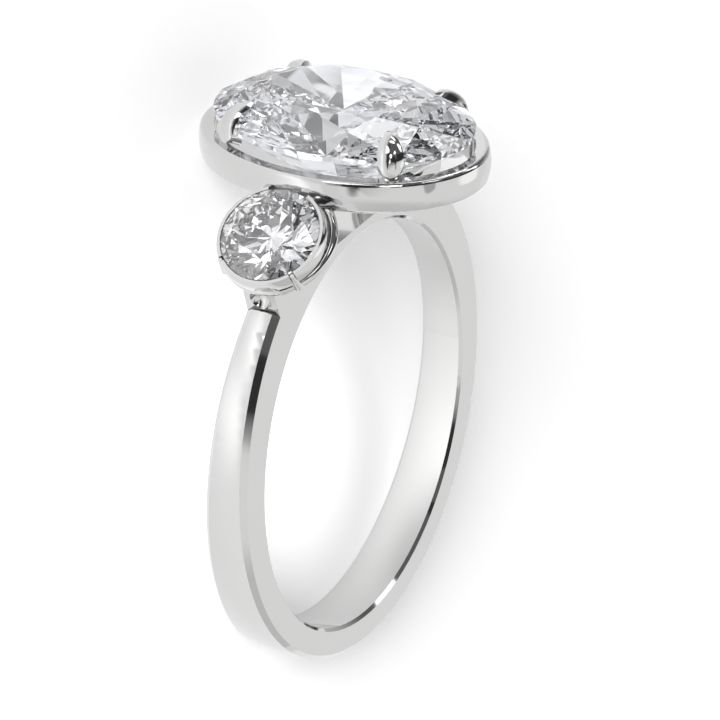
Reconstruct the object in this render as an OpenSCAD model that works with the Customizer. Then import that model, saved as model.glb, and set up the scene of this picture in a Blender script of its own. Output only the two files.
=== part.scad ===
// Three stone ring: an oval centre stone in a collar with four claws, and a round stone in a
// half-bezel cup on each shoulder. The ring lies on its side, on the end of the collar and on the
// edge of the shank.
// Every piece is drawn upright first: the finger goes through along Y and the head points to +Z.

/* [Finger hole and shank] */
// Radius of the finger hole
finger_r = 8.25; // [7.2:0.05:10.5]
// Thickness of the shank at the bottom
shank_t = 1.29; // [1.0:0.01:1.8]
// How much thicker the shank is at the head than at the bottom
shank_rise = 0.86; // [0.4:0.01:1.2]
// Width of the shank at the bottom
shank_w = 2.3; // [1.8:0.02:3.0]
// Width of the ring at the top of the finger hole
shoulder_w = 1.37; // [1.1:0.01:1.7]
// Height of the dome on the shank's outer face
shank_dome = 0.14; // [0.05:0.01:0.25]
// Bevel along the outer edges of the shank
shank_bevel = 0.12; // [0.05:0.01:0.2]
// Bevel along the edges of the finger hole
finger_bevel = 0.12; // [0.1:0.01:0.25]
// Thickness of the bridge that closes the finger hole under the head
bridge_t = 0.4; // [0.3:0.01:0.8]

/* [Centre stone] */
// Length of the centre stone, along the finger
stone_l = 10.66; // [8:0.02:13]
// Width of the centre stone
stone_w = 7.62; // [6:0.02:9]
// Height of the crown, from the girdle's edge to the table
stone_crown = 0.98; // [0.6:0.01:1.4]
// Depth of the pavilion, from the girdle's edge to the point
stone_pavilion = 3.1; // [2.4:0.01:3.6]
// Thickness of the girdle at its corners
stone_girdle = 0.28; // [0.2:0.01:0.4]

/* [Side stones] */
// Diameter of the side stones
side_d = 3.88; // [3:0.02:4.4]
// Height of a side stone's crown
side_crown = 0.54; // [0.4:0.01:0.8]
// Depth of a side stone's pavilion
side_pavilion = 1.6; // [1.3:0.01:1.9]
// Thickness of a side stone's girdle at its corners
side_girdle = 0.12; // [0.08:0.01:0.2]
// Tilt of the side stones, in degrees
side_lean = 37.8; // [30:0.2:45]
// Depth of a side stone's centre below the underside of the collar
side_drop = 0.53; // [0.2:0.01:1.0]

/* [Cut and setting] */
// Width of the table as a share of the stone's width
table_share = 0.59; // [0.5:0.01:0.65]
// Gap between every stone and the metal
stone_gap = 0.04; // [0.02:0.01:0.08]

/* [Collar] */
// Height of the collar's underside above the top of the finger hole
collar_lift = 2.93; // [2.3:0.01:3.6]
// Height of the collar
collar_h = 1.26; // [0.9:0.01:1.8]
// How far the collar stands out past the edge of the centre stone
collar_w = 0.61; // [0.5:0.01:0.8]
// How far the collar's outer wall bows outward
collar_bow = 0.12; // [0.05:0.01:0.2]
// Rounding of the collar's outer edges
collar_round = 0.2; // [0.1:0.01:0.25]
// Height of the centre stone's girdle above the rim
stone_lift = 0.63; // [0.4:0.01:0.9]
// Half-width of the window under the collar, at the collar
window_half = 3.5; // [3.0:0.05:3.7]
// Radius of the window's lower corners
window_r = 6.9; // [6:0.1:9]

/* [Claws] */
// Place of the claws round the centre stone, in degrees from its side
claw_turn = 41; // [35:0.5:50]
// Width of a claw
claw_w = 1.03; // [0.8:0.01:1.3]
// How far a claw stands out past the girdle
claw_out = 0.33; // [0.25:0.01:0.45]
// How far a claw reaches in over the crown
claw_in = 1.05; // [0.8:0.01:1.3]
// Height of a claw's tip above the girdle
claw_up = 0.88; // [0.75:0.01:1.1]
// Depth of a claw's stem, from its face to its back
claw_stem = 0.68; // [0.5:0.01:0.9]
// Length of a claw's face from its widest place to its point
claw_point = 1.1; // [0.9:0.01:1.3]
// Lean of a claw's face, in degrees
claw_lean = 27; // [15:0.5:40]
// Width of a claw's foot on the collar
claw_foot = 0.6; // [0.4:0.01:0.7]

/* [Cups] */
// How far the crescents stand out past the side stone
crescent_out = 0.25; // [0.2:0.01:0.4]
// Thickness of a crescent's upper edge
crescent_lip = 0.16; // [0.1:0.01:0.2]
// How far the crescents rise above the girdle
crescent_up = 0.04; // [0.03:0.01:0.12]
// How far the crescents reach below the girdle
crescent_down = 0.45; // [0.35:0.01:0.6]
// Width of the bearing under the stone's edge
crescent_seat = 0.2; // [0.1:0.01:0.3]
// How far the lower rail stands out past the side stone
rail_out = 0.42; // [0.3:0.01:0.5]
// Depth of the rail below the girdle
rail_drop = 0.8; // [0.65:0.01:0.95]
// Radius of the rail's wire
rail_wire = 0.21; // [0.16:0.01:0.26]
// Depth of the shank's domed end below the girdle
step_drop = 1.7; // [1.5:0.01:2.0]
// Radius of the small scoop between the shank's end and the rail
scoop_r = 0.48; // [0.2:0.01:0.5]

/* [Hidden] */
$fn = 128;

// More than any size of the ring
BEYOND = 20;
// Overlap of pieces that are soldered together
SOLDER = 0.1;

// Shank: its outer face is a disc whose centre lies a little towards the head
outer_shift = shank_rise / 2;
outer_r = finger_r + shank_t + outer_shift;
flat_r = outer_r - shank_dome - shank_bevel;
dome_r = (shank_w * shank_w / 4 + shank_dome * shank_dome) / (2 * shank_dome);
bottom_z = -(finger_r + shank_t);
face_slope = (shank_w - shoulder_w) / 2 / (finger_r - bottom_z);
face_tilt = atan(face_slope);
half_w = shank_w / 2 + face_slope * bottom_z;

// Collar
collar_z = finger_r + collar_lift;
rim_z = collar_z + collar_h;
girdle_z = rim_z + stone_lift;
collar_half_l = stone_l / 2 + collar_w;
collar_half_w = stone_w / 2 + collar_w;
collar_bow_r = (collar_h * collar_h / 4 + collar_bow * collar_bow) / (2 * collar_bow);

// Window under the collar: two arcs that cross on the ring's middle plane
window_side_x = window_r / 3;
window_z = collar_z + sqrt(window_r * window_r - pow(window_half + window_side_x, 2));

// Claws: a bent horn, cut to the outline of a drop
claw_bend_r = 0.82 * (claw_out + claw_in);
claw_horn_r = 0.6 * claw_w;
claw_reach = claw_in * sin(claw_lean) + claw_up * cos(claw_lean);
claw_side_r = (claw_point * claw_point + claw_w * claw_w / 4) / claw_w;

// Side stones and their cups
side_r = side_d / 2;
side_x = collar_half_w + stone_gap + side_r * cos(side_lean);
side_z = collar_z - side_drop;
rail_r = side_r + rail_out;
rail_shift = rail_out / 2;
cup_foot_r = shoulder_w / 2;
cup_cone = rail_r - rail_wire - cup_foot_r;
crescent_belly = -0.7 * crescent_down;
crescent_bow = crescent_out - crescent_lip;
crescent_bow_r = (pow(crescent_up - crescent_belly, 2) + crescent_bow * crescent_bow) / (2 * crescent_bow);
OUTER_CRESCENT = 88;
NOTCH = 6;
SIDE_CRESCENT = 106;
step_angle = atan2(
    side_x + rail_r * cos(side_lean) - step_drop * sin(side_lean),
    side_z - rail_r * sin(side_lean) - step_drop * cos(side_lean)
);

// Lying pose: the line that touches the collar's end and the shank's edge, seen along X
collar_touch_y = collar_half_l - collar_bow_r;
collar_touch_z = collar_z + collar_h / 2;
shank_touch_z = outer_shift - flat_r;
shank_touch_y = half_w - face_slope * shank_touch_z;
touch_y = collar_touch_y - shank_touch_y;
touch_z = collar_touch_z - shank_touch_z;
rest_tilt = asin(collar_bow_r / norm([touch_y, touch_z])) + atan2(touch_y, touch_z);
rest_lift = shank_touch_y * cos(rest_tilt) - shank_touch_z * sin(rest_tilt);
table_z = girdle_z + stone_girdle / 2 + stone_crown;
head_reach = table_share * stone_l / 2 * sin(rest_tilt) + table_z * cos(rest_tilt);
foot_reach = (shank_touch_y - shank_bevel) * sin(rest_tilt) - (bottom_z + shank_dome) * cos(rest_tilt);
rest_shift = (foot_reach - head_reach) / 2;

// Distance from the finger's centre to the shifted disc of radius r, at an angle from the head
function shifted_r(r, angle) =
    outer_shift * cos(angle) + sqrt(r * r - pow(outer_shift * sin(angle), 2));

// A point at a distance and an angle from the head's direction, as [x, z]
function polar(r, angle) = [r * sin(angle), r * cos(angle)];

// A point of the right cup as [x, z], from its way down the slope and its height over the girdle
function cup_point(down, up) = [
    side_x + down * cos(side_lean) + up * sin(side_lean),
    side_z - down * sin(side_lean) + up * cos(side_lean)
];

// Corners evenly round a circle, as [x, y, z]
function ring_points(count, r, z, turn) = [
    for (i = [0 : count - 1])
        [r * cos(turn + 360 * i / count), r * sin(turn + 360 * i / count), z]
];

// Lays the upright ring on its side
module lying() {
    translate([0, rest_shift, rest_lift])
        rotate([rest_tilt - 90, 0, 0])
            children();
}

// Turns what is drawn with its axis along Z, and the head towards Y, into the finger's direction
module along_finger() {
    rotate([90, 0, 0]) children();
}

module both_sides() {
    children();
    mirror([1, 0, 0]) children();
}

module front_and_back() {
    children();
    mirror([0, 1, 0]) children();
}

// Places a cup or its stone on the right shoulder: X runs down the slope, Z is the stone's axis
module on_shoulder() {
    translate([side_x, 0, side_z])
        rotate([0, side_lean, 0])
            children();
}

// A brilliant cut: a table, eight stars, eight bezels, sixteen upper facets, a girdle, sixteen
// lower facets and eight mains that meet in a point. Every facet is flat.
module brilliant(length, width, crown, pavilion, girdle) {
    half_step = 22.5;
    quarter_step = 11.25;
    // The stars reach half-way from the table's sides to the girdle
    star_r = (1 + table_share * cos(half_step)) / 2;
    star_up = (1 - star_r * cos(half_step)) / (1 - table_share);
    // The lower facets reach most of the way to the point
    lower_down = 0.77;
    lower_r = (1 - lower_down) / cos(half_step);
    // Between the girdle's corners the round outline cuts the facets a little further out
    bulge = (1 - cos(quarter_step)) / cos(quarter_step);
    upper_dip = bulge * star_up * crown / (1 - star_r);
    lower_dip = bulge * lower_down * pavilion / (1 - lower_r);
    top = girdle / 2;
    corners = concat(
        ring_points(8, table_share, top + crown, 0),
        ring_points(8, star_r, top + star_up * crown, half_step),
        [for (c = ring_points(32, 1, top, 0)) c],
        [for (c = ring_points(32, 1, -top, 0)) c],
        ring_points(8, lower_r, -top - lower_down * pavilion, half_step),
        [[0, 0, -top - pavilion]]
    );
    // Where each group of corners starts in the list, after the table's
    star = 8;
    upper = 16;
    lower = 48;
    valley = 80;
    point = 88;
    dips = [
        for (i = [0 : len(corners) - 1])
            i < upper || i >= valley || i % 2 == 0 ? 0 : i < lower ? -upper_dip : lower_dip
    ];
    placed = [
        for (i = [0 : len(corners) - 1])
            [corners[i][0] * width / 2, corners[i][1] * length / 2, corners[i][2] + dips[i]]
    ];
    faces = concat(
        [[for (i = [7 : -1 : 0]) i]],
        [for (i = [0 : 7]) [(i + 1) % 8, star + i, i]],
        [for (i = [0 : 7]) [star + i, upper + 4 * i, star + (i + 7) % 8, i]],
        [for (i = [0 : 7]) [for (k = [2 : -1 : 0]) upper + 4 * i + k, star + i]],
        [for (i = [0 : 7]) [for (k = [4 : -1 : 2]) upper + (4 * i + k) % 32, star + i]],
        [for (i = [0 : 31]) [upper + (i + 1) % 32, lower + (i + 1) % 32, lower + i, upper + i]],
        [for (i = [0 : 7]) [valley + i, for (k = [0 : 2]) lower + 4 * i + k]],
        [for (i = [0 : 7]) [valley + i, for (k = [2 : 4]) lower + (4 * i + k) % 32]],
        [for (i = [0 : 7]) [point, valley + (i + 7) % 8, lower + 4 * i, valley + i]]
    );
    polyhedron(placed, faces);
}

// The centre stone or, with a gap, the room that the claws leave for it
module centre_cut(gap) {
    translate([0, 0, girdle_z])
        brilliant(
            stone_l + 2 * gap,
            stone_w + 2 * gap,
            stone_crown + gap / 2,
            stone_pavilion + gap,
            stone_girdle + 2 * gap
        );
}

module side_cut() {
    on_shoulder() brilliant(side_d, side_d, side_crown, side_pavilion, side_girdle);
}

// The well of a cup: the hollow inside the rail, and the room for the stone, which narrows to a
// blunt point
module stone_well() {
    wide = side_r + stone_gap;
    narrow = side_r - crescent_seat - stone_gap;
    hollow_z = -rail_drop - rail_wire;
    seat_z = -side_girdle / 2;
    point_z = seat_z - side_pavilion - stone_gap;
    slope = (wide - stone_gap) / (seat_z - point_z);
    on_shoulder()
        rotate_extrude()
            polygon([
                [0, point_z],
                [stone_gap, point_z],
                [stone_gap + slope * (hollow_z - point_z), hollow_z],
                [narrow, hollow_z],
                [narrow, seat_z - (wide - narrow) / slope],
                [wide, seat_z],
                [wide, side_d],
                [0, side_d]
            ]);
}

// What lies between the two side faces of the ring, which draw together towards the head
module between_faces() {
    top = half_w - face_slope * rim_z;
    foot = half_w + face_slope * BEYOND;
    rotate([90, 0, 90])
        linear_extrude(height = 2 * BEYOND, center = true)
            polygon([[-foot, -BEYOND], [foot, -BEYOND], [top, rim_z], [-top, rim_z]]);
}

// Puts a lathe's work on the side face of the ring
module on_face() {
    translate([0, 0, half_w]) rotate([-face_tilt, 0, 0]) children();
}

// The body behind one side face, with the bevel along the face's outer edge. It stands out past
// the face, which is cut when all pieces are together.
module face_body() {
    depth = 2 * shank_w;
    up = shank_bevel;
    on_face()
        translate([0, outer_shift, 0])
            rotate_extrude()
                polygon([[0, up], [flat_r - up, up], [flat_r + depth, -depth], [0, -depth]]);
}

// The shank's outer face as a full domed disc
module domed_disc() {
    translate([0, outer_shift, 0])
        rotate_extrude()
            intersection() {
                translate([outer_r - dome_r, 0]) circle(r = dome_r);
                translate([0, -shank_w]) square([outer_r, 2 * shank_w]);
            }
}

module shank() {
    along_finger()
        difference() {
            intersection() {
                domed_disc();
                face_body();
                mirror([0, 0, 1]) face_body();
            }
            // The domed face ends in a step below each cup
            linear_extrude(height = BEYOND, center = true)
                polygon([[0, 0], polar(BEYOND, step_angle), polar(BEYOND, -step_angle)]);
        }
}

// The window under the collar, as [x, z]
module window() {
    intersection() {
        for (side = [-1, 1])
            translate([side * window_side_x, window_z]) circle(r = window_r);
        translate([-BEYOND / 2, finger_r + bridge_t])
            square([BEYOND, collar_lift - bridge_t + 2 * SOLDER]);
    }
}

// Shoulder plates and bridge, as [x, z]
module head_outline() {
    neck_r = shifted_r(flat_r, step_angle) - SOLDER / 2;
    under_rail = -rail_drop - SOLDER / 2;
    lap = 3;
    right = [
        polar(0.8 * finger_r, step_angle + lap),
        polar(neck_r, step_angle + lap),
        polar(neck_r, step_angle),
        cup_point(rail_r - rail_shift - rail_wire, under_rail),
        cup_point(0, under_rail),
        [collar_half_w - collar_bow - SOLDER / 2, collar_z + SOLDER]
    ];
    left = [for (i = [len(right) - 1 : -1 : 0]) [-right[i][0], right[i][1]]];
    polygon(concat(right, left));
}

module head_plates() {
    along_finger()
        linear_extrude(height = shank_w, center = true)
            difference() {
                head_outline();
                window();
            }
}

// A cup's lower rail and the cone that narrows from it into the shoulder
module cup() {
    on_shoulder()
        translate([-rail_shift, 0, -rail_drop]) {
            rotate_extrude() translate([rail_r - rail_wire, 0]) circle(r = rail_wire);
            translate([0, 0, -cup_cone])
                cylinder(r1 = cup_foot_r, r2 = rail_r - rail_wire, h = cup_cone);
        }
}

module crescent_section() {
    intersection() {
        translate([side_r - crescent_seat, -crescent_down])
            square([crescent_seat + crescent_out, crescent_down + crescent_up]);
        translate([side_r + crescent_out - crescent_bow_r, crescent_belly])
            circle(r = crescent_bow_r);
    }
}

// Three crescents round a side stone, and the posts in the two notches between them
module crescents() {
    first = OUTER_CRESCENT / 2;
    on_shoulder() {
        rotate([0, 0, -first]) rotate_extrude(angle = OUTER_CRESCENT) crescent_section();
        front_and_back() {
            rotate([0, 0, first + NOTCH]) rotate_extrude(angle = SIDE_CRESCENT) crescent_section();
            rotate([0, 0, first + NOTCH / 2])
                translate([side_r + crescent_lip, 0, -rail_drop])
                    cylinder(r1 = rail_wire, r2 = crescent_lip / 2, h = rail_drop);
        }
    }
}

module scoop() {
    down = rail_r - rail_shift + rail_wire / 2;
    up = -(rail_drop + step_drop) / 2 - SOLDER;
    on_shoulder() translate([down, 0, up]) sphere(r = scoop_r);
}

// The collar's wall: flat inside, bowed outside, with rounded outer edges
module collar_section() {
    middle = collar_h / 2;
    bow_x = collar_w - collar_bow_r;
    edge = middle - collar_round;
    edge_x = bow_x + sqrt(pow(collar_bow_r - collar_round, 2) - edge * edge);
    bow_half = edge * collar_bow_r / (collar_bow_r - collar_round);
    intersection() {
        translate([bow_x, middle]) circle(r = collar_bow_r);
        translate([0, middle - bow_half]) square([collar_w, 2 * bow_half]);
    }
    square([edge_x, collar_h]);
    translate([edge_x, middle + edge]) circle(r = collar_round);
    translate([edge_x, middle - edge]) circle(r = collar_round);
}

// The open middle of the collar
module collar_inside() {
    translate([0, 0, collar_z - SOLDER / 2])
        scale([stone_w / stone_l, 1, 1])
            cylinder(r = stone_l / 2, h = collar_h + SOLDER);
}

module collar() {
    difference() {
        translate([0, 0, collar_z])
            scale([collar_half_w / collar_half_l, 1, 1])
                rotate_extrude() {
                    square([collar_half_l - collar_w / 2 - collar_bow, collar_h]);
                    translate([collar_half_l - collar_w, 0]) collar_section();
                }
        collar_inside();
    }
}

// Front of a claw: a drop with its point up, widest at the origin, and the foot below it
module claw_front() {
    round_z = -claw_w / 5;
    intersection() {
        translate([claw_side_r - claw_w / 2, 0]) circle(r = claw_side_r);
        translate([claw_w / 2 - claw_side_r, 0]) circle(r = claw_side_r);
        union() {
            translate([0, round_z]) circle(r = claw_w / 2);
            translate([-claw_w, round_z]) square([2 * claw_w, 2 * claw_point]);
        }
    }
    translate([-claw_foot / 2, -2 * claw_point]) square([claw_foot, 2 * claw_point]);
}

// A claw at its place on the girdle: X points outward, away from the stone
module claw() {
    difference() {
        intersection() {
            translate([claw_out - claw_bend_r, 0, claw_up - claw_bend_r])
                rotate([90, 0, 0])
                    rotate_extrude()
                        intersection() {
                            translate([claw_bend_r - claw_horn_r, 0]) circle(r = claw_horn_r);
                            translate([0, -claw_w]) square([claw_bend_r, 2 * claw_w]);
                        }
            rotate([0, -claw_lean, 0])
                translate([0, 0, claw_reach - claw_point])
                    rotate([90, 0, 90])
                        linear_extrude(height = BEYOND, center = true)
                            claw_front();
        }
        // Below the girdle only the stem is left
        translate([claw_out - claw_stem - BEYOND, -BEYOND / 2, -BEYOND])
            cube([BEYOND, BEYOND, BEYOND]);
    }
}

module claws() {
    normal = atan2(sin(claw_turn) / stone_l, cos(claw_turn) / stone_w);
    difference() {
        both_sides()
            front_and_back()
                translate([stone_w / 2 * cos(claw_turn), stone_l / 2 * sin(claw_turn), girdle_z])
                    rotate([0, 0, normal])
                        claw();
        centre_cut(stone_gap);
    }
}

module finger_hole() {
    along_finger() {
        cylinder(r = finger_r, h = BEYOND / 2, center = true);
        for (face = [0, 1])
            mirror([0, 0, face])
                on_face()
                    translate([0, 0, -2 * finger_bevel])
                        cylinder(
                            r1 = finger_r - finger_bevel,
                            r2 = finger_r + 2 * finger_bevel,
                            h = 3 * finger_bevel
                        );
    }
}

// Shank, shoulder plates, bridge and cups
module ring_body() {
    difference() {
        union() {
            intersection() {
                union() {
                    shank();
                    head_plates();
                }
                between_faces();
            }
            both_sides() cup();
        }
        both_sides() stone_well();
        both_sides() scoop();
        collar_inside();
        finger_hole();
    }
}

// All the soldered metal
module mounting() {
    color("gainsboro")
        lying() {
            ring_body();
            collar();
            both_sides()
                difference() {
                    crescents();
                    stone_well();
                }
            claws();
        }
}

module centre_stone() {
    color("lightcyan") lying() centre_cut(0);
}

module side_stone_left() {
    color("lightcyan") lying() mirror([1, 0, 0]) side_cut();
}

module side_stone_right() {
    color("lightcyan") lying() side_cut();
}

mounting();
centre_stone();
side_stone_left();
side_stone_right();
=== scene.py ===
"""Dresses the lying three stone ring: white gold, cut stones, floor, soft light and camera."""
import logging
import math
from dataclasses import dataclass, field
from enum import Enum

import bpy
from mathutils import Matrix, Vector

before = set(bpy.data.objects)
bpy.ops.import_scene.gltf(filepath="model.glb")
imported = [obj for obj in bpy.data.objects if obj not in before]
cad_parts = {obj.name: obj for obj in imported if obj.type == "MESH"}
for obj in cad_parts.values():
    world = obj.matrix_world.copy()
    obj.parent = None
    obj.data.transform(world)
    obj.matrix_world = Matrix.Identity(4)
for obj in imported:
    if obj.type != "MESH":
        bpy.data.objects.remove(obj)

logging.basicConfig(level=logging.INFO, format="%(message)s")
log = logging.getLogger("ring")

MM = 0.001
WHITE = (1.0, 1.0, 1.0, 1.0)
Colour = tuple[float, float, float]
Point = tuple[float, float, float]


class Piece(Enum):
    """The ring's pieces, by the names of their CAD nodes."""

    MOUNTING = "mounting"
    CENTRE = "centre_stone"
    LEFT = "side_stone_left"
    RIGHT = "side_stone_right"


class Value:
    """A shader value that takes part in sums and products; each one adds its Math node."""

    def __init__(self, graph: "Graph", socket: bpy.types.NodeSocket) -> None:
        """Keeps the socket and the graph that it belongs to."""
        self.graph = graph
        self.socket = socket

    def math(self, operation: str, other: "Value | float", swapped: bool = False) -> "Value":
        """Adds one Math node.

        Args:
            operation: The node's operation.
            other: The second operand.
            swapped: True puts the other operand first.

        Returns:
            The node's result.
        """
        operands = [other, self] if swapped else [self, other]
        node = self.graph.node("ShaderNodeMath", {"operation": operation}, dict(enumerate(operands)))
        return Value(self.graph, node.outputs[0])

    def __add__(self, other: "Value | float") -> "Value":
        """Sum."""
        return self.math("ADD", other)

    def __radd__(self, other: float) -> "Value":
        """Sum with a number on the left."""
        return self.math("ADD", other, True)

    def __mul__(self, other: "Value | float") -> "Value":
        """Product."""
        return self.math("MULTIPLY", other)

    def __rmul__(self, other: float) -> "Value":
        """Product with a number on the left."""
        return self.math("MULTIPLY", other, True)

    def __truediv__(self, other: "Value | float") -> "Value":
        """Quotient."""
        return self.math("DIVIDE", other)

    def __rtruediv__(self, other: float) -> "Value":
        """Quotient with a number on the left."""
        return self.math("DIVIDE", other, True)


class Graph:
    """A node tree that is built node by node."""

    def __init__(self, tree: bpy.types.NodeTree) -> None:
        """Keeps the tree and empties it."""
        self.tree = tree
        tree.nodes.clear()

    def node(self, kind: str, settings: dict | None = None, inputs: dict | None = None) -> bpy.types.Node:
        """Adds a node.

        Args:
            kind: The node's type.
            settings: Its properties, set before its sockets.
            inputs: Values, sockets or Values for its input sockets, by name or number.

        Returns:
            The node.
        """
        node = self.tree.nodes.new(kind)
        for name, setting in (settings or {}).items():
            setattr(node, name, setting)
        for name, given in (inputs or {}).items():
            if isinstance(given, Value):
                given = given.socket
            if isinstance(given, bpy.types.NodeSocket):
                self.tree.links.new(given, node.inputs[name])
            else:
                node.inputs[name].default_value = given
        return node

    def noise(self, place: bpy.types.NodeSocket, scale: float, detail: float) -> Value:
        """Adds a soft noise from nothing to one."""
        node = self.node("ShaderNodeTexNoise", {}, {"Vector": place, "Scale": scale, "Detail": detail})
        return Value(self, node.outputs[0])

    def mixed(self, factor: Value, first: Colour, second: Colour) -> bpy.types.NodeSocket:
        """Adds a mix of two colours.

        Args:
            factor: Nothing for the first colour, one for the second.
            first: The first colour.
            second: The second colour.

        Returns:
            The socket of the mixed colour.
        """
        node = self.node("ShaderNodeMix", {"data_type": "RGBA"}, {
            "Factor": factor, "A": (*first, 1.0), "B": (*second, 1.0)})
        return node.outputs["Result"]

    def falloff(self, reach: Value, start: float, end: float) -> Value:
        """Adds a soft step down.

        Args:
            reach: The value that the step follows.
            start: Where the step leaves one.
            end: Where it comes to nothing.

        Returns:
            One before the step and nothing after it.
        """
        node = self.node("ShaderNodeMapRange", {"interpolation_type": "SMOOTHSTEP"}, {
            "Value": reach, "From Min": start, "From Max": end, "To Min": 1.0, "To Max": 0.0})
        return Value(self, node.outputs[0])

    def measure(self, operation: str, place: bpy.types.NodeSocket, other: Point | Vector) -> Value:
        """Adds the measure of one vector against another, such as a distance."""
        node = self.node("ShaderNodeVectorMath", {"operation": operation}, {0: place, 1: tuple(other)})
        return Value(self, node.outputs["Value"])


@dataclass(frozen=True)
class Lying:
    """The pose in which the ring lies on the floor, as in the part's source."""

    tilt: float = math.radians(12.9287)
    lift: float = 3.19051 * MM
    shift: float = -2.57161 * MM

    def matrix(self) -> Matrix:
        """The turn and shift from the upright ring to the lying one."""
        turn = Matrix.Rotation(self.tilt - math.pi / 2, 4, "X")
        return Matrix.Translation((0.0, self.shift, self.lift)) @ turn

    def point(self, place: Point) -> Vector:
        """A point of the upright ring, in millimetres, where it lies, in metres."""
        return self.matrix() @ (Vector(place) * MM)

    def way(self, direction: Point) -> Vector:
        """A direction of the upright ring where it lies."""
        return (self.matrix().to_3x3() @ Vector(direction)).normalized()


@dataclass(frozen=True)
class Finish:
    """A finish that becomes one material, with its pattern on the object's own coordinates."""

    name: str

    def make(self) -> bpy.types.Material:
        """Builds the material.

        Returns:
            The material, with one principled shader.
        """
        material = bpy.data.materials.new(self.name)
        material.use_nodes = True
        graph = Graph(material.node_tree)
        place = graph.node("ShaderNodeTexCoord").outputs["Object"]
        shader = graph.node("ShaderNodeBsdfPrincipled", {}, self.sockets(graph, place))
        graph.node("ShaderNodeOutputMaterial", {}, {"Surface": shader.outputs["BSDF"]})
        return material

    def sockets(self, graph: Graph, place: bpy.types.NodeSocket) -> dict:
        """What goes into the shader's sockets, which each finish gives by itself."""
        raise NotImplementedError(self.name)


@dataclass(frozen=True)
class WhiteGold(Finish):
    """Polished white gold with the faint unevenness of hand polishing."""

    name: str = "white_gold"
    light: Colour = (0.67, 0.67, 0.665)
    dark: Colour = (0.63, 0.63, 0.625)
    roughness: float = 0.045
    haze: float = 0.035
    haze_grain: float = 260.0
    haze_detail: float = 3.0
    scratches: float = 0.012
    scratch_grain: Point = (900.0, 900.0, 9000.0)
    scratch_detail: float = 2.0
    scratch_depth: float = 0.02 * MM

    def sockets(self, graph: Graph, place: bpy.types.NodeSocket) -> dict:
        """Gives the metal its haze and its fine scratches.

        Args:
            graph: The material's node graph.
            place: The socket of the place on the object.

        Returns:
            The shader's inputs by name.
        """
        cloud = graph.noise(place, self.haze_grain, self.haze_detail)
        strokes = graph.node("ShaderNodeMapping", {}, {"Vector": place, "Scale": self.scratch_grain})
        fine = graph.noise(strokes.outputs["Vector"], 1.0, self.scratch_detail)
        bump = graph.node("ShaderNodeBump", {}, {
            "Strength": self.scratches, "Distance": self.scratch_depth, "Height": fine})
        return {
            "Base Color": graph.mixed(cloud, self.dark, self.light),
            "Metallic": 1.0,
            "Roughness": cloud * self.haze + self.roughness,
            "Normal": bump.outputs["Normal"],
        }


@dataclass(frozen=True)
class CutStone(Finish):
    """A clear cut stone with a trace of warm and cool tints from place to place."""

    warm: Colour = (0.74, 0.72, 0.67)
    cool: Colour = (0.70, 0.74, 0.86)
    grain: float = 700.0
    detail: float = 1.0
    bend: float = 2.417

    def sockets(self, graph: Graph, place: bpy.types.NodeSocket) -> dict:
        """Gives the stone its tints and bends the light in it.

        Args:
            graph: The material's node graph.
            place: The socket of the place on the object.

        Returns:
            The shader's inputs by name.
        """
        cloud = graph.noise(place, self.grain, self.detail)
        return {
            "Base Color": graph.mixed(cloud, self.warm, self.cool),
            "Roughness": 0.0,
            "IOR": self.bend,
            "Transmission Weight": 1.0,
        }


@dataclass(frozen=True)
class Pool:
    """A soft pool of painted light in the floor's glow: its middle, full radius, soft edge and
    brightness.
    """

    middle: Point
    full: float
    edge: float
    glow: float

    def light(self, graph: Graph, place: bpy.types.NodeSocket) -> Value:
        """Adds the nodes of the pool's light at a place on the floor."""
        reach = graph.measure("DISTANCE", place, self.middle)
        return graph.falloff(reach, self.full, self.full + self.edge) * self.glow


@dataclass(frozen=True)
class PaleFloor(Finish):
    """A matt white studio floor with painted light: it glows round the ring and fades further out."""

    name: str = "pale_floor"
    light: Colour = (0.86, 0.86, 0.86)
    dark: Colour = (0.84, 0.84, 0.845)
    grain: float = 12.0
    detail: float = 2.0
    # Painted light: emission in soft patches makes the floor glow round the ring, though it is no lamp.
    painted_light_pools: tuple[Pool, ...] = (
        Pool((0.0, 0.0, 0.0), 38.0 * MM, 22.0 * MM, 0.18),
        Pool((-0.021, 0.021, 0.0), 0.0, 13.0 * MM, 0.50),
        Pool((-0.020, 0.006, 0.0), 0.0, 10.0 * MM, 0.45),
        Pool((-0.001, -0.002, 0.0), 0.0, 9.0 * MM, 0.65),
    )

    def sockets(self, graph: Graph, place: bpy.types.NodeSocket) -> dict:
        """Gives the floor its faint clouds and its painted glow.

        Args:
            graph: The material's node graph.
            place: The socket of the place on the floor.

        Returns:
            The shader's inputs by name.
        """
        cloud = graph.noise(place, self.grain, self.detail)
        glow: Value | float = 0.0
        for pool in self.painted_light_pools:
            glow = glow + pool.light(graph, place)
        return {
            "Base Color": graph.mixed(cloud, self.dark, self.light),
            "Roughness": 1.0,
            "Specular IOR Level": 0.0,
            # Painted light: the summed glow of the patches, set as the floor's emission.
            "Emission Color": glow,
            "Emission Strength": 1.0,
        }


def dress(piece: Piece, material: bpy.types.Material) -> bpy.types.Object:
    """Gives a CAD node its material.

    Args:
        piece: The piece.
        material: The material for all its slots.

    Returns:
        The node's object.
    """
    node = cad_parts[piece.value]
    if not node.material_slots:
        node.data.materials.append(material)
    for slot in node.material_slots:
        slot.material = material
    return node


@dataclass
class Mounting:
    """The soldered metal body of the ring."""

    finish: WhiteGold = field(default_factory=WhiteGold)

    def build(self) -> list[bpy.types.Object]:
        """Dresses the metal."""
        return [dress(Piece.MOUNTING, self.finish.make())]


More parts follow.
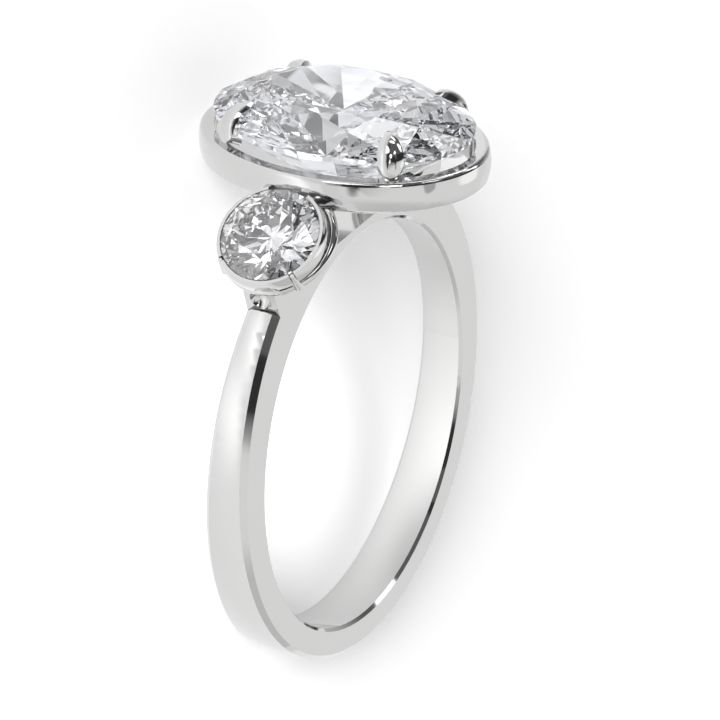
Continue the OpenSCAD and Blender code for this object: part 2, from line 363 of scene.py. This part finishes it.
@dataclass
class Stones:
    """The centre stone and the two side stones."""

    centre: CutStone = field(default_factory=lambda: CutStone("centre_brilliant"))
    side: CutStone = field(default_factory=lambda: CutStone(
        "side_brilliant", warm=(0.87, 0.85, 0.83), cool=(0.85, 0.88, 0.94), grain=1500.0))

    def build(self) -> list[bpy.types.Object]:
        """Dresses the three stones.

        Returns:
            Their objects.
        """
        side = self.side.make()
        return [
            dress(Piece.CENTRE, self.centre.make()),
            dress(Piece.LEFT, side),
            dress(Piece.RIGHT, side),
        ]


@dataclass(frozen=True)
class Panel:
    """A soft oval panel of light or shade in the surround, placed round the upright ring.

    The way points from the ring to the panel's middle, and the side is the way its width runs. Width
    and height are half-sizes as the sines of their angles, and the glow is added to the surround.
    """

    way: Point
    side: Point
    width: float
    height: float
    glow: float
    soft: float

    def light(self, graph: Graph, way: bpy.types.NodeSocket, pose: Lying) -> Value:
        """Adds the nodes of the panel's light in a direction.

        Args:
            graph: The world's node graph.
            way: The socket of the viewing direction.
            pose: How the ring lies, which the panel follows.

        Returns:
            The panel's glow inside it, nothing outside, and a soft step between.
        """
        middle = pose.way(self.way)
        side = pose.way(self.side)
        side = (side - middle * side.dot(middle)).normalized()
        across = graph.measure("DOT_PRODUCT", way, side) / self.width
        up = graph.measure("DOT_PRODUCT", way, middle.cross(side)) / self.height
        oval = graph.falloff(across * across + up * up, 1.0 - self.soft, 1.0 + self.soft)
        facing = graph.measure("DOT_PRODUCT", way, middle).math("GREATER_THAN", 0.0)
        return oval * facing * self.glow


@dataclass
class Surround:
    """The light round the ring: an even pale surround with light and dark panels."""

    pose: Lying
    base: float = 0.96
    darkest: float = 0.04
    panels: tuple[Panel, ...] = (
        Panel((0.0, -0.58, 0.81), (1.0, 0.0, 0.0), 1.0, 0.72, -0.82, 0.3),
        Panel((0.0, -0.94, 0.34), (0.967, -0.09, -0.24), 0.97, 0.20, -0.90, 0.25),
        Panel((-0.38, -0.91, 0.10), (0.93, -0.37, 0.0), 0.12, 0.40, -0.45, 0.25),
        Panel((-0.20, -0.87, 0.45), (1.0, 0.0, 0.0), 0.16, 0.14, 0.90, 0.3),
        Panel((-0.80, -0.16, 0.57), (0.6, 0.1, 0.8), 0.75, 0.13, -0.90, 0.3),
        Panel((-0.60, -0.46, 0.65), (0.7, -0.2, 0.7), 0.17, 0.13, 2.2, 0.3),
        Panel((-0.84, -0.44, 0.34), (0.4, -0.2, 0.9), 0.16, 0.10, 1.8, 0.3),
        Panel((-0.10, -0.68, 0.73), (1.0, 0.0, 0.0), 0.15, 0.10, 2.2, 0.3),
        Panel((-0.45, 0.10, 0.88), (1.0, 0.0, 0.0), 0.22, 0.30, 2.6, 0.3),
        Panel((0.30, -0.15, 0.94), (1.0, 0.6, 0.0), 0.10, 0.26, 2.4, 0.3),
        Panel((0.62, -0.05, 0.78), (0.0, 1.0, 0.0), 0.22, 0.09, 2.6, 0.3),
        Panel((0.64, -0.60, 0.48), (0.7, 0.7, 0.0), 0.13, 0.26, 2.0, 0.3),
        Panel((-0.10, -0.35, -0.93), (1.0, 0.0, 0.0), 0.75, 0.45, -0.25, 0.5),
        Panel((0.50, -0.84, -0.20), (0.86, 0.5, 0.0), 0.30, 0.12, 0.35, 0.6),
    )

    def build(self) -> None:
        """Makes the surround as the scene's world."""
        world = bpy.data.worlds.new("studio_surround")
        bpy.context.scene.world = world
        world.use_nodes = True
        graph = Graph(world.node_tree)
        way = graph.node("ShaderNodeTexCoord").outputs["Generated"]
        glow: Value | float = self.base
        for panel in self.panels:
            glow = glow + panel.light(graph, way, self.pose)
        glow = glow.math("MAXIMUM", self.darkest)
        light = graph.node("ShaderNodeBackground", {}, {"Color": WHITE, "Strength": glow})
        graph.node("ShaderNodeOutputWorld", {}, {"Surface": light.outputs["Background"]})


@dataclass
class Studio:
    """Floor, key light, surround and camera."""

    pose: Lying
    floor_size: float = 3.0
    key_way: Point = (-0.80, 0.50, 0.31)
    key_light: float = 4.6
    key_angle: float = math.radians(28.0)
    lens: float = 245.74
    sensor: float = 36.0
    nearest: float = 5.0 * MM
    farthest: float = 20.0
    camera_place: Point = (-151.43, -81.04, 90.73)
    camera_right: Point = (0.466, -0.885, -0.007)
    camera_up: Point = (0.407, 0.207, 0.890)
    bounces: int = 24
    glossy_bounces: int = 20

    def floor(self) -> None:
        """Lays a wide pale floor under the ring."""
        bpy.ops.object.select_all(action="DESELECT")
        bpy.ops.mesh.primitive_plane_add(size=self.floor_size, location=(0.0, 0.0, 0.0))
        plane = bpy.context.object
        plane.name = "studio_floor"
        plane.data.materials.append(PaleFloor().make())

    def key(self) -> None:
        """Adds a broad key light that only draws the soft shadow on the floor."""
        data = bpy.data.lights.new("key", "SUN")
        data.energy = self.key_light
        data.angle = self.key_angle
        lamp = bpy.data.objects.new("key", data)
        bpy.context.scene.collection.objects.link(lamp)
        lamp.rotation_mode = "QUATERNION"
        lamp.rotation_quaternion = Vector(self.key_way).to_track_quat("Z", "Y")
        lamp.visible_glossy = False
        lamp.visible_transmission = False

    def camera(self) -> None:
        """Sets the camera at the photograph's angle to the ring."""
        right = self.pose.way(self.camera_right)
        up = self.pose.way(self.camera_up)
        back = right.cross(up).normalized()
        up = back.cross(right)
        data = bpy.data.cameras.new("camera")
        data.lens = self.lens
        data.sensor_width = self.sensor
        data.clip_start = self.nearest
        data.clip_end = self.farthest
        camera = bpy.data.objects.new("camera", data)
        bpy.context.scene.collection.objects.link(camera)
        turn = Matrix((right, up, back)).transposed().to_4x4()
        camera.matrix_world = Matrix.Translation(self.pose.point(self.camera_place)) @ turn
        bpy.context.scene.camera = camera

    def build(self) -> None:
        """Sets up the whole studio."""
        self.floor()
        self.key()
        Surround(self.pose).build()
        self.camera()
        scene = bpy.context.scene
        scene.view_settings.view_transform = "Standard"
        scene.cycles.max_bounces = self.bounces
        scene.cycles.transmission_bounces = self.bounces
        scene.cycles.glossy_bounces = self.glossy_bounces
        log.info("made the floor, the lights and the camera")


def main() -> None:
    """Builds the ring and its studio."""
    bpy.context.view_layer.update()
    for part in (Mounting(), Stones()):
        for piece in part.build():
            log.info("made %s", piece.name)
    Studio(Lying()).build()


if __name__ == "__main__":
    main()
